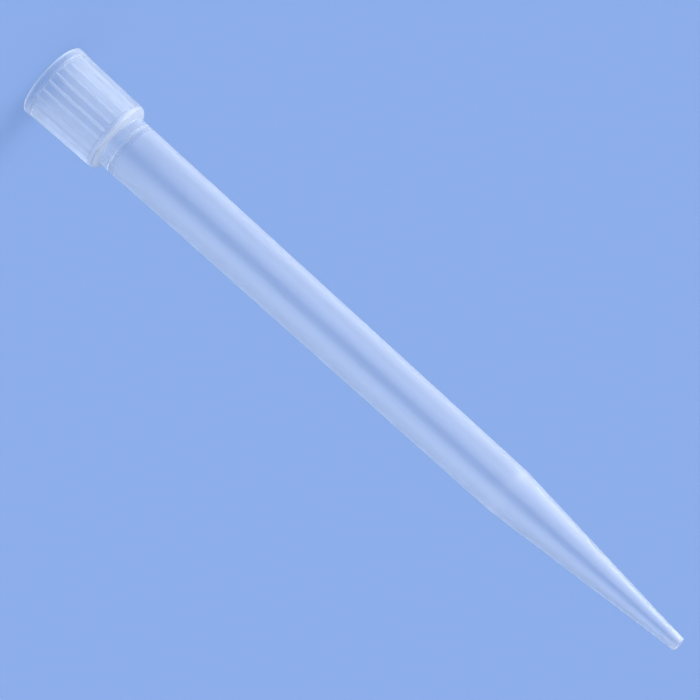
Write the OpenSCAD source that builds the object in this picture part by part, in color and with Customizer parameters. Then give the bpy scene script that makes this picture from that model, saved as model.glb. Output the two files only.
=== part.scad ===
// Pipette tip for a large-volume air-displacement pipette, moulded in one
// piece from natural polypropylene. It stands on its mouth: the origin is the
// centre of the mouth, and +Z runs along the bore to the dispensing end.
// All sizes are in millimetres and all angles in degrees.

/* [Overall] */
// Length from the mouth to the dispensing end
tip_length = 150; // [140:1:160]

/* [Rim] */
// Outer diameter of the smooth band round the mouth
rim_d = 14.7; // [14.4:0.1:15.2]
// Height of the band, which is where the gaps between the ribs start
rim_h = 1.7; // [0.8:0.1:2.5]
// How far the band stands out past the ribs
rim_step = 0.08; // [0.04:0.02:0.16]
// Height of the bevel that leads from the band in to the ribs
rim_bevel = 0.3; // [0.1:0.05:0.4]
// Rounding of the mouth's two edges
rim_round = 0.2; // [0.05:0.05:0.2]

/* [Collar] */
// Length from the mouth to the neck
collar_length = 17; // [15:0.5:20]
// Draft of the collar's outside
collar_draft = 1.3; // [0.5:0.1:1.6]
// Slope of the shoulder that leads from the collar to the neck
shoulder_slope = 60; // [50:1:65]
// Radius of the shoulder's outer corner
shoulder_round = 1.6; // [0.8:0.1:2]
// Wall thickness of the shoulder
shoulder_wall = 0.8; // [0.6:0.05:1]

/* [Ribs] */
// Number of grip ribs round the collar
rib_count = 24; // [12:1:30]
// How far the ribs stand out from the floor between them
rib_height = 0.3; // [0.15:0.05:0.35]
// Width of a rib at its crest, beside the rim
rib_width = 0.35; // [0.2:0.05:0.5]
// Lean of each rib's two sides
rib_flank = 12; // [4:1:15]
// Smooth length between the ribs' ends and the shoulder's corner
rib_end_gap = 0.7; // [0.3:0.1:1.5]

/* [Socket] */
// Inner diameter at the mouth
mouth_bore_d = 12.9; // [12.7:0.05:13]
// Inner diameter of the cylindrical seat that seals on the pipette's cone
seat_d = 12.2; // [12:0.05:12.4]
// Length of that seat
seat_length = 6.5; // [4:0.5:9]
// Distance in from the seat to the flat stop ring
stop_inset = 0.35; // [0.2:0.05:0.5]
// Width of the flat stop ring
stop_width = 0.3; // [0.15:0.05:0.4]

/* [Neck] */
// Outer diameter of the neck, where the tube starts
neck_d = 10.7; // [10.4:0.1:11]
// Wall thickness of the neck
neck_wall = 0.55; // [0.45:0.05:0.65]
// Length of the neck, to the ledge inside
neck_length = 1.5; // [0.8:0.1:3]

/* [Tube] */
// Outer diameter of the tube where the cone starts
tube_end_d = 9.4; // [9:0.1:10]
// Wall thickness of the tube
tube_wall = 0.78; // [0.7:0.02:0.9]

/* [Cone] */
// Length of the cone
cone_length = 40; // [30:1:50]
// Outer diameter of the dispensing end
end_d = 2.6; // [2.5:0.1:3.2]
// Diameter of the orifice
orifice_d = 1.6; // [1.2:0.1:1.8]
// Radius that blends the tube into the cone
cone_blend = 8; // [2:1:20]
// Rounding of the dispensing end
end_round = 0.15; // [0.05:0.05:0.2]

/* [Hidden] */
$fn = 144;
// Straight steps that one rounded corner of the outline is drawn with
round_steps = 6;
// Length by which one cutter runs past another
overrun = 0.1;
natural = [0.86, 0.92, 0.98, 0.55];

neck_r = neck_d / 2;
seat_r = seat_d / 2;
tube_end_r = tube_end_d / 2;
cone_z = tip_length - cone_length;
slope = tan(shoulder_slope);

// Radius of the ribs' crests at a height
function crest_r(z) = rim_d / 2 - rim_step - (z - rim_h) * tan(collar_draft);
// Radius of the shoulder's outside at a height
function shoulder_r(z) = neck_r + (collar_length - z) * slope;
// Height at which the shoulder's inside has a radius
function floor_z(r) = collar_length - (r + shoulder_wall / cos(shoulder_slope) - neck_r) / slope;
// Radius of the tube's outside at a height
function tube_r(z) = neck_r + (tube_end_r - neck_r) * (z - collar_length) / (cone_z - collar_length);

// Height of the corner where the ribs' crests meet the shoulder
corner_z = (shoulder_r(0) - crest_r(0)) / (slope - tan(collar_draft));
gap_end_z = corner_z - rib_end_gap;

// The socket's floor runs in from the seat to the stop ring, and on to the neck
seat_end_z = floor_z(seat_r);
stop_r = seat_r - stop_inset;
stop_z = floor_z(stop_r);
neck_bore_r = neck_r - neck_wall;
floor_end_z = stop_z + (stop_r - stop_width - neck_bore_r) / slope;

// The ledge inside the neck leads down to the tube's full wall
ledge_z = collar_length + neck_length;
tube_bore_r = tube_r(ledge_z) - tube_wall;
ledge_end_z = ledge_z + neck_bore_r - tube_bore_r;

// The whole wall in section. Each corner is a radius, a height and a rounding
wall_corners = [
    [rim_d / 2, 0, rim_round],
    [rim_d / 2, rim_h - rim_step - rim_bevel, 0],
    [crest_r(rim_h - rim_step), rim_h - rim_step, 0],
    [crest_r(corner_z), corner_z, shoulder_round],
    [neck_r, collar_length, 0],
    [tube_end_r, cone_z, cone_blend],
    [end_d / 2, tip_length, end_round],
    [orifice_d / 2, tip_length, end_round],
    [tube_end_r - tube_wall, cone_z, cone_blend],
    [tube_bore_r, ledge_end_z, 0],
    [neck_bore_r, ledge_z, 0],
    [neck_bore_r, floor_end_z, 0],
    [stop_r - stop_width, stop_z, 0],
    [stop_r, stop_z, 0],
    [seat_r, seat_end_z, 0],
    [seat_r, seat_end_z - seat_length, 0],
    [mouth_bore_d / 2, 0, rim_round],
];

function unit(v) = v / norm(v);
function place(corner) = [corner[0], corner[1]];

// Points of the arc of radius r that rounds corner b between a and c
function arc_points(a, b, c, r) =
    let (
        u = unit(a - b),
        v = unit(c - b),
        half = acos(u * v) / 2,
        middle = b + unit(u + v) * r / sin(half),
        from = b + u * r / tan(half) - middle,
        to = b + v * r / tan(half) - middle,
        start = atan2(from.y, from.x),
        turn = (atan2(to.y, to.x) - start + 540) % 360 - 180
    )
    [for (i = [0 : round_steps])
        let (angle = start + turn * i / round_steps)
        middle + r * [cos(angle), sin(angle)]];

// A closed outline with its corners rounded
function rounded(corners) =
    let (n = len(corners))
    [for (i = [0 : n - 1])
        let (
            before = place(corners[(i + n - 1) % n]),
            here = place(corners[i]),
            after = place(corners[(i + 1) % n]),
            r = corners[i][2]
        )
        each r > 0 ? arc_points(before, here, after, r) : [here]];

// One rib's space, along +X, from the rim to the shoulder
module rib_space() {
    inside = crest_r(gap_end_z) - rib_height - overrun;
    outside = rim_d / 2 + 2 * overrun;
    half_in = rib_width / 2 + (crest_r(rim_h) - inside) * tan(rib_flank);
    half_out = rib_width / 2 - (outside - crest_r(rim_h)) * tan(rib_flank);
    translate([0, 0, rim_h - overrun])
        linear_extrude(gap_end_z - rim_h + 2 * overrun)
            polygon([
                [inside, -half_in], [outside, -half_out],
                [outside, half_out], [inside, half_in],
            ]);
}

// The gaps between the ribs, as one cutter
module rib_gaps() {
    outside = rim_d / 2 + overrun;
    difference() {
        rotate_extrude()
            polygon([
                [crest_r(rim_h) - rib_height, rim_h],
                [outside, rim_h],
                [outside, gap_end_z],
                [crest_r(gap_end_z) - rib_height, gap_end_z],
            ]);
        for (i = [0 : rib_count - 1])
            rotate(i * 360 / rib_count)
                rib_space();
    }
}

module pipette_tip() {
    color(natural)
        difference() {
            rotate_extrude()
                polygon(rounded(wall_corners));
            rib_gaps();
        }
}

pipette_tip();
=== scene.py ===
from math import atan2, cos, hypot, inf, pi, radians, sin, tan

import bpy
from mathutils import Matrix, Vector
from mathutils.geometry import intersect_point_line


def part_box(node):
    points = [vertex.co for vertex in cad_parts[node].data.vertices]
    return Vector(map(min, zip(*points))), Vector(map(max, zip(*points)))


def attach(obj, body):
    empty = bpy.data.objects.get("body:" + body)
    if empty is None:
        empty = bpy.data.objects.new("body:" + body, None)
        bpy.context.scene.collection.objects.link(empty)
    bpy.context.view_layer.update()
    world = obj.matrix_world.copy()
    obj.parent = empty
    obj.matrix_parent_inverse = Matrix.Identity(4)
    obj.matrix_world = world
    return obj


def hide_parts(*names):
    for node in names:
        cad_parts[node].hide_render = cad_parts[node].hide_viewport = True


# A pipette tip for large volumes, moulded in one piece, standing on its mouth.
# +Z runs from the mouth to the dispensing end. Lengths are in millimetres unless
# a note says otherwise.

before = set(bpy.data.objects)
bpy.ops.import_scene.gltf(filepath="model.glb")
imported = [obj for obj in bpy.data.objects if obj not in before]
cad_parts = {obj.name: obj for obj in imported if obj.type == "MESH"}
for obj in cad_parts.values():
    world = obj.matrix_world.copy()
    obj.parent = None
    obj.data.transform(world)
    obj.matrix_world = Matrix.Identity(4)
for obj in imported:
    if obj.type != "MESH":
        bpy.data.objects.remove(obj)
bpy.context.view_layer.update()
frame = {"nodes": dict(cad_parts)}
print("frame loaded:", ", ".join(frame["nodes"]))

mm = 0.001                      # metres in a millimetre


def linear(hexColour):
    # sRGB hex to linear red, green, blue and alpha
    parts = [int(hexColour[i:i + 2], 16) / 255 for i in (1, 3, 5)]
    return [p / 12.92 if p <= 0.04045 else ((p + 0.055) / 1.055) ** 2.4 for p in parts] + [1.0]


def addNode(tree, kind, inputs=None, **settings):
    # an input is a plain value, or another node's socket to link from
    node = tree.nodes.new(kind)
    for name, value in settings.items():
        setattr(node, name, value)
    for name, value in (inputs or {}).items():
        if isinstance(value, bpy.types.NodeSocket):
            tree.links.new(value, node.inputs[name])
        else:
            node.inputs[name].default_value = value
    return node


def newMaterial(name):
    material = bpy.data.materials.new(name)
    material.use_nodes = True
    material.node_tree.nodes.clear()
    return material, material.node_tree


def addObject(name, data):
    added = bpy.data.objects.new(name, data)
    bpy.context.scene.collection.objects.link(added)
    return added


# the tip's shape: one wall, turned round +Z, with ribs left between cut spaces
tip = {
    "rimStep": 0.08,            # how far the rim band stands out past the ribs
    "rimHeight": 1.7,
    "rimBevel": 0.3,
    "rimRound": 0.2,
    "collarLength": 17.0,
    "collarDraft": 1.3,         # degrees
    "shoulderSlope": 60.0,      # degrees
    "shoulderRound": 1.6,
    "shoulderWall": 0.8,
    "ribCount": 24,
    "ribHeight": 0.3,
    "ribWidth": 0.35,
    "ribFlank": 0.3,            # run of each side, from the crest to the floor between ribs
    "ribEndGap": 0.7,           # smooth ring between the ribs and the shoulder
    "mouthBore": 12.9,          # diameters inside the collar
    "seatBore": 12.2,
    "seatLength": 6.5,
    "stopInset": 0.35,          # the stop ring at the end of the seat
    "stopWidth": 0.3,
    "neckAcross": 10.7,
    "neckWall": 0.55,
    "neckLength": 1.5,
    "neckRound": 0.15,
    "ledgeRound": 0.3,          # inside, where the neck's wall grows to the tube's
    "tubeEndAcross": 9.4,
    "tubeWall": 0.78,
    "coneLength": 40.0,
    "coneBlend": 8.0,
    "endAcross": 2.6,
    "orifice": 1.6,
    "endRound": 0.15,
    "edge": 0.06,               # how far the moulding rounds its fine edges
    "gapRamp": 0.15,            # run of the slope at each end of the gaps between ribs
    "gapClearing": 0.6,         # share of a gap's depth that makes its wall clearer
    "endWay": 2.5,              # light runs up the wall to the dispensing end, which looks thicker
    "arcSteps": 6,              # stretches in each rounding
    "flankSteps": 5,            # faces across each rib's flank
    "gapSpots": (0.3, 0.65),    # more columns, by share of the way from a rib to the gap's middle
    "longestStep": 4.0,         # rings along the straight stretches are no further apart
}


def roundedOutline(corners, steps):
    # corners are (radius, height, rounding, side), and arcs replace the rounded ones
    points = []
    for i, (r, z, rounding, side) in enumerate(corners):
        if rounding <= 0:
            points.append((r, z, side))
            continue
        here = Vector((r, z))
        before = Vector(corners[i - 1][:2]) - here
        after = Vector(corners[(i + 1) % len(corners)][:2]) - here
        half = before.angle(after) / 2
        before.normalize()
        after.normalize()
        middle = here + (before + after).normalized() * rounding / sin(half)
        start = here + before * rounding / tan(half) - middle
        finish = here + after * rounding / tan(half) - middle
        angle = atan2(start.y, start.x)
        turn = (atan2(finish.y, finish.x) - angle + pi) % (2 * pi) - pi
        for step in range(steps + 1):
            a = angle + turn * step / steps
            points.append((middle.x + rounding * cos(a), middle.y + rounding * sin(a), side))
    return points


def filledOutline(points, longest):
    # extra points along the long straight stretches
    filled = []
    for i, (r, z, side) in enumerate(points):
        nextR, nextZ, _ = points[(i + 1) % len(points)]
        parts = max(1, round(hypot(nextR - r, nextZ - z) / longest))
        for k in range(parts):
            share = k / parts
            filled.append((r + (nextR - r) * share, z + (nextZ - z) * share, side))
    return filled


def wallThickness(outline):
    # distance from each point to the nearest stretch of the wall's other side
    stretches = [(Vector(a[:2]), Vector(b[:2]), a[2])
                 for a, b in zip(outline, outline[1:]) if a[2] == b[2]]
    thickness = []
    for r, z, side in outline:
        here = Vector((r, z))
        nearest = inf
        for start, end, stretchSide in stretches:
            if stretchSide != side:
                share = min(max(intersect_point_line(here, start, end)[1], 0.0), 1.0)
                nearest = min(nearest, (start.lerp(end, share) - here).length)
        thickness.append(nearest)
    return thickness


def smoothStep(x):
    x = min(max(x, 0.0), 1.0)
    return x * x * (3 - 2 * x)


def buildTip(sizes, rimRadius, length):
    neckR = sizes["neckAcross"] / 2
    seatR = sizes["seatBore"] / 2
    tubeEndR = sizes["tubeEndAcross"] / 2
    coneZ = length - sizes["coneLength"]
    slope = tan(radians(sizes["shoulderSlope"]))
    draft = tan(radians(sizes["collarDraft"]))
    wallShift = sizes["shoulderWall"] / cos(radians(sizes["shoulderSlope"]))
    rimZ = sizes["rimHeight"]
    edge = sizes["edge"]
    ramp = sizes["gapRamp"]

    def crestR(z):
        return rimRadius - sizes["rimStep"] - (z - rimZ) * draft

    def floorZ(r):
        # the shoulder's sloping floor inside
        return sizes["collarLength"] - (r + wallShift - neckR) / slope

    cornerZ = (neckR + sizes["collarLength"] * slope - crestR(0)) / (slope - draft)
    gapEndZ = cornerZ - sizes["ribEndGap"]
    bevelZ = rimZ - sizes["rimStep"]
    stopR = seatR - sizes["stopInset"]
    stopZ = floorZ(stopR)
    seatEndZ = floorZ(seatR)
    neckBoreR = neckR - sizes["neckWall"]
    ledgeZ = sizes["collarLength"] + sizes["neckLength"]
    tubeTopR = neckR + (tubeEndR - neckR) * sizes["neckLength"] / (coneZ - sizes["collarLength"])
    tubeBoreR = tubeTopR - sizes["tubeWall"]

    quarters = (0, 0.25, 0.5, 0.75, 1)
    gapHeights = [rimZ + ramp * share for share in quarters]
    gapHeights += [rimZ + (gapEndZ - rimZ) * share for share in quarters[1:-1]]
    gapHeights += [gapEndZ - ramp * share for share in reversed(quarters[1:])]
    outside = [(rimRadius, 0, sizes["rimRound"], "out"),
               (rimRadius, bevelZ - sizes["rimBevel"], edge, "out"),
               (crestR(bevelZ), bevelZ, edge, "out")]
    outside += [(crestR(z), z, 0, "out") for z in gapHeights]
    outside += [(crestR(cornerZ), cornerZ, sizes["shoulderRound"], "out"),
                (neckR, sizes["collarLength"], sizes["neckRound"], "out"),
                (tubeEndR, coneZ, sizes["coneBlend"], "out"),
                (sizes["endAcross"] / 2, length, sizes["endRound"], "out")]
    inside = [(sizes["orifice"] / 2, length, sizes["endRound"], "in"),
              (tubeEndR - sizes["tubeWall"], coneZ, sizes["coneBlend"], "in"),
              (tubeBoreR, ledgeZ + neckBoreR - tubeBoreR, sizes["ledgeRound"], "in"),
              (neckBoreR, ledgeZ, sizes["ledgeRound"], "in"),
              (neckBoreR, stopZ + (stopR - sizes["stopWidth"] - neckBoreR) / slope, edge, "in"),
              (stopR - sizes["stopWidth"], stopZ, edge, "in"),
              (stopR, stopZ, edge, "in"),
              (seatR, seatEndZ, edge, "in"),
              (seatR, seatEndZ - sizes["seatLength"], edge, "in"),
              (sizes["mouthBore"] / 2, 0, sizes["rimRound"], "in")]
    outline = filledOutline(roundedOutline(outside + inside, sizes["arcSteps"]),
                            sizes["longestStep"])

    # columns bunch at each rib's flanks: each has an angle and its distance from the rib's middle
    flankStart = (sizes["ribWidth"] - sizes["ribFlank"]) / 2
    halfPitch = pi / sizes["ribCount"] * crestR(rimZ)
    reach = [flankStart + sizes["ribFlank"] * (step / sizes["flankSteps"])
             for step in range(sizes["flankSteps"] + 1)]
    reach += [reach[-1] + (halfPitch - reach[-1]) * share for share in sizes["gapSpots"]]
    across = [-halfPitch] + [-x for x in reversed(reach)] + [0.0] + reach
    columns = [(2 * pi * rib / sizes["ribCount"] + x / crestR(rimZ), abs(x))
               for rib in range(sizes["ribCount"]) for x in across]

    verts = []
    walls = []
    for (r, z, side), wall in zip(outline, wallThickness(outline)):
        if z > length - sizes["endRound"]:
            wall = sizes["endWay"]
        depth = 0.0
        if rimZ < z < gapEndZ:
            depth = sizes["ribHeight"] * smoothStep(min(z - rimZ, gapEndZ - z) / ramp)
        for angle, fromRib in columns:
            gap = depth * smoothStep((fromRib - flankStart) / sizes["ribFlank"])
            radius = (r - gap if side == "out" else r) * mm
            verts.append((radius * cos(angle), radius * sin(angle), z * mm))
            walls.append(wall - gap * sizes["gapClearing"])

    rings, around = len(outline), len(columns)
    faces = []
    for ring in range(rings):
        here, above = ring * around, (ring + 1) % rings * around
        for column in range(around):
            beside = (column + 1) % around
            faces.append((here + column, here + beside, above + beside, above + column))

    mesh = bpy.data.meshes.new("tipWall")
    mesh.from_pydata(verts, [], faces)
    mesh.shade_smooth()
    mesh.attributes.new("wall", "FLOAT", "POINT").data.foreach_set("value", walls)
    piece = addObject("tipWall", mesh)
    # wide faces keep their own slope beside the small ones that round an edge
    piece.modifiers.new("evenedNormals", "WEIGHTED_NORMAL")
    print("tip:", rings, "rings,", around, "columns,", len(faces), "faces")
    return piece


low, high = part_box("pipette_tip")
tipLength = high[2] / mm
tipWall = buildTip(tip, (high[0] - low[0]) / 2 / mm, tipLength)
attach(tipWall, "root")
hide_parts("pipette_tip")


# natural polypropylene, injection moulded: see-through, milkier where the wall is thick or
# seen edge on, with a frosted grip, clear rings at the rim and the neck, and soft bands of
# light along the satin tube
polypropylene = {
    "tint": "#EEF3F9",
    "ior": 1.49,
    "collarRoughness": 0.15,    # polished, where the collar and the neck aren't frosted
    "tubeRoughness": 0.28,      # the tube and cone are satin
    "satinFrom": (19.3, 20.3),  # heights where the satin starts and where it is full
    "frostRoughness": 0.45,
    "haze": 0.12,               # share of light that each millimetre of wall scatters
    "frostHaze": 0.16,          # the same under a frosted skin
    "skinFrost": 0.05,          # share that a frosted skin scatters by itself
    "edgeWay": 4.5,             # light's way through the wall, edge on against face on
    "hazeThrough": 0.3,         # share of the milk that lets light through from behind
    "frostThrough": 0.6,        # the same under a frosted skin
    # how frosted the skin is at each height, from 0 for polished to 1
    "frost": ((0.35, 0.9), (0.5, 0.15), (1.3, 0.15), (1.45, 0.8), (1.75, 0.45), (3.0, 0.5),
              (5.2, 1.0), (15.0, 1.0), (15.5, 0.5), (17.2, 0.25), (18.2, 0.2), (18.5, 0.5),
              (18.9, 0.5), (19.3, 0.08), (26.0, 0.0), (109.5, 0.0), (109.8, 1.0), (110.2, 1.0),
              (110.5, 0.0), (149.1, 0.0), (149.5, 0.4)),
    "passing": "#F6F7F8",       # what a lamp's light keeps at each skin it crosses
    "grainSize": 0.2,           # polish marks of the mould, coarser than the real 0.05 to show
    "grainDepth": 0.03,
    "grainStrength": 0.08,
    "grainDetail": 2.0,
}


def naturalPolypropylene(finish, length):
    material, tree = newMaterial("naturalPolypropyleneMoulded")
    place = addNode(tree, "ShaderNodeTexCoord")
    wall = addNode(tree, "ShaderNodeAttribute", attribute_name="wall")
    apart = addNode(tree, "ShaderNodeSeparateXYZ", {0: place.outputs["Object"]})
    along = addNode(tree, "ShaderNodeMath", {0: apart.outputs["Z"], 1: length * mm},
                    operation="DIVIDE")
    frost = addNode(tree, "ShaderNodeValToRGB", {"Fac": along.outputs[0]})
    stops = frost.color_ramp.elements
    for height, value in finish["frost"]:
        stops.new(height / length).color = (value, value, value, 1)
    stops.remove(stops[0])
    stops.remove(stops[-1])

    # milk: the haze of the wall, times light's way through it, and that of a frosted skin
    density = addNode(tree, "ShaderNodeMapRange", {
        "Value": frost.outputs["Color"], "To Min": finish["haze"], "To Max": finish["frostHaze"]})
    skinMilk = addNode(tree, "ShaderNodeMath", {
        0: frost.outputs["Color"], 1: finish["skinFrost"]}, operation="MULTIPLY")
    facing = addNode(tree, "ShaderNodeLayerWeight")
    wayThrough = addNode(tree, "ShaderNodeMapRange", {
        "Value": facing.outputs["Facing"], "To Min": 1.0, "To Max": finish["edgeWay"]})
    wallWay = addNode(tree, "ShaderNodeMath", {
        0: wall.outputs["Fac"], 1: wayThrough.outputs["Result"]}, operation="MULTIPLY")
    milk = addNode(tree, "ShaderNodeMath", {
        0: wallWay.outputs[0], 1: density.outputs["Result"], 2: skinMilk.outputs[0]},
        operation="MULTIPLY_ADD", use_clamp=True)
    clear = addNode(tree, "ShaderNodeMath", {0: 1.0, 1: milk.outputs[0]}, operation="SUBTRACT")

    # skin: polished up to the neck, satin beyond it, rougher and finely grained where frosted
    satinStart, satinFull = [height / length for height in finish["satinFrom"]]
    satin = addNode(tree, "ShaderNodeMapRange", {
        "Value": along.outputs[0], "From Min": satinStart, "From Max": satinFull,
        "To Min": finish["collarRoughness"], "To Max": finish["tubeRoughness"]},
        interpolation_type="SMOOTHSTEP")
    rough = addNode(tree, "ShaderNodeMapRange", {
        "Value": frost.outputs["Color"], "To Min": satin.outputs["Result"],
        "To Max": finish["frostRoughness"]})
    grain = addNode(tree, "ShaderNodeTexNoise", {
        "Vector": place.outputs["Object"], "Scale": 1 / (finish["grainSize"] * mm),
        "Detail": finish["grainDetail"]})
    graininess = addNode(tree, "ShaderNodeMapRange", {
        "Value": frost.outputs["Color"], "To Max": finish["grainStrength"]})
    bump = addNode(tree, "ShaderNodeBump", {
        "Height": grain.outputs["Fac"], "Strength": graininess.outputs["Result"],
        "Distance": finish["grainDepth"] * mm})
    skin = addNode(tree, "ShaderNodeBsdfPrincipled", {
        "Base Color": linear(finish["tint"]), "Roughness": rough.outputs["Result"],
        "IOR": finish["ior"], "Transmission Weight": clear.outputs[0],
        "Normal": bump.outputs["Normal"]})

    # some of the milk glows with the light from behind
    glow = addNode(tree, "ShaderNodeBsdfTranslucent", {
        "Color": linear(finish["tint"]), "Normal": bump.outputs["Normal"]})
    passed = addNode(tree, "ShaderNodeMapRange", {
        "Value": frost.outputs["Color"], "To Min": finish["hazeThrough"],
        "To Max": finish["frostThrough"]})
    share = addNode(tree, "ShaderNodeMath", {
        0: milk.outputs[0], 1: passed.outputs["Result"]}, operation="MULTIPLY")
    body = addNode(tree, "ShaderNodeMixShader", {
        0: share.outputs[0], 1: skin.outputs[0], 2: glow.outputs[0]})

    # the lamps' light and the light off the floor pass the wall, so shadows stay pale
    path = addNode(tree, "ShaderNodeLightPath")
    through = addNode(tree, "ShaderNodeBsdfTransparent", {"Color": linear(finish["passing"])})
    lit = addNode(tree, "ShaderNodeMixShader", {
        0: path.outputs["Is Shadow Ray"], 1: body.outputs[0], 2: through.outputs[0]})
    mixed = addNode(tree, "ShaderNodeMixShader", {
        0: path.outputs["Is Diffuse Ray"], 1: lit.outputs[0], 2: through.outputs[0]})
    addNode(tree, "ShaderNodeOutputMaterial", {"Surface": mixed.outputs[0]})
    return material


tipWall.data.materials.append(naturalPolypropylene(polypropylene, tipLength))
print("material made: natural polypropylene, moulded")


# a board painted matt, which gives no gloss beside the clear plastic
floorLook = {
    "colour": "#90B0E8",
    "size": 8.0,                # metres
}


def buildFloor(look):
    half = look["size"] / 2
    mesh = bpy.data.meshes.new("floor")
    mesh.from_pydata([(-half, -half, 0), (half, -half, 0), (half, half, 0), (-half, half, 0)],
                     [], [(0, 1, 2, 3)])
    material, tree = newMaterial("paintedBoard")
    paint = addNode(tree, "ShaderNodeBsdfPrincipled", {
        "Base Color": linear(look["colour"]), "Roughness": 1.0, "Specular IOR Level": 0.0})
    addNode(tree, "ShaderNodeOutputMaterial", {"Surface": paint.outputs[0]})
    mesh.materials.append(material)
    addObject("floor", mesh)


buildFloor(floorLook)
print("floor laid")


studio = {
    "airColour": "#DDE6F7",     # soft light from all round
    "airStrength": 0.35,
    # far softboxes: each comes from a direction, and has a width in degrees
    "suns": {
        "key": {"from": (-2.6, 0.2, 0.93), "width": 70.0, "strength": 4.2},
        "top": {"from": (0.2, 0.6, 3.0), "width": 60.0, "strength": 0.7},
    },
    # near cards that only the gloss shows: place, width and height in metres, power in watts
    "cards": {
        "cardLeft": {"from": (0.065, -0.062, 0.085), "size": (0.08, 0.17), "power": 0.065},
        "cardRight": {"from": (-0.055, -0.071, 0.085), "size": (0.08, 0.17), "power": 0.06},
    },
}


def addLamp(name, kind, start, aim, onlyGloss=False):
    data = bpy.data.lights.new(name, kind)
    lamp = addObject(name, data)
    lamp.location = start
    lamp.rotation_euler = (aim - start).to_track_quat("-Z", "Y").to_euler()
    lamp.visible_camera = False
    lamp.visible_transmission = False
    lamp.visible_diffuse = not onlyGloss
    return data


def lightStudio(lights, backdropColour):
    for name, sun in lights["suns"].items():
        data = addLamp(name, "SUN", Vector(sun["from"]), Vector())
        data.angle = radians(sun["width"])
        data.energy = sun["strength"]
    for name, card in lights["cards"].items():
        start = Vector(card["from"])
        data = addLamp(name, "AREA", start, Vector((0, 0, start.z)), onlyGloss=True)
        data.shape = "RECTANGLE"
        data.size, data.size_y = card["size"]
        data.energy = card["power"]
    world = bpy.data.worlds.new("studio")
    world.use_nodes = True
    tree = world.node_tree
    tree.nodes.clear()
    air = addNode(tree, "ShaderNodeBackground", {
        "Color": linear(lights["airColour"]), "Strength": lights["airStrength"]})
    # beyond the floor's edge, the eye, gloss and clear plastic meet more of the floor's colour
    backdrop = addNode(tree, "ShaderNodeBackground", {"Color": linear(backdropColour)})
    path = addNode(tree, "ShaderNodeLightPath")
    gloss = addNode(tree, "ShaderNodeMath", {
        0: path.outputs["Is Glossy Ray"], 1: path.outputs["Is Transmission Ray"]},
        operation="MAXIMUM")
    seen = addNode(tree, "ShaderNodeMath", {
        0: path.outputs["Is Camera Ray"], 1: gloss.outputs[0]}, operation="MAXIMUM")
    sky = addNode(tree, "ShaderNodeMixShader", {
        0: seen.outputs[0], 1: air.outputs[0], 2: backdrop.outputs[0]})
    addNode(tree, "ShaderNodeOutputWorld", {"Surface": sky.outputs[0]})
    bpy.context.scene.world = world


cameraShot = {
    "elevation": 12.3,          # degrees above the floor
    "turn": -5.0,               # degrees round the tip
    "roll": 132.06,             # degrees, lays the standing tip across the frame
    "distance": 1.07,           # metres
    "lens": 316.6,              # a long one, which keeps the far end nearly as large
    "aimRight": -0.00191,       # metres that the view is moved off the tip's middle
    "aimUp": 0.00138,
}


def placeCamera(shot, middle):
    elevation, roll = radians(shot["elevation"]), radians(shot["roll"])
    spin = Matrix.Rotation(radians(shot["turn"]), 3, "Z")
    toCamera = spin @ Vector((0, -cos(elevation), sin(elevation)))
    levelRight = spin @ Vector((1, 0, 0))
    levelUp = spin @ Vector((0, sin(elevation), cos(elevation)))
    right = levelRight * cos(roll) + levelUp * sin(roll)
    up = levelUp * cos(roll) - levelRight * sin(roll)
    spot = middle + toCamera * shot["distance"] + right * shot["aimRight"] + up * shot["aimUp"]
    data = bpy.data.cameras.new("camera")
    data.lens = shot["lens"]
    camera = addObject("camera", data)
    turned = Matrix((right, up, toCamera)).transposed().to_4x4()
    camera.matrix_world = Matrix.Translation(spot) @ turned
    bpy.context.scene.camera = camera


lightStudio(studio, floorLook["colour"])
placeCamera(cameraShot, Vector((0, 0, (low[2] + high[2]) / 2)))
bpy.context.scene.view_settings.view_transform = "Standard"
print("studio and camera set")
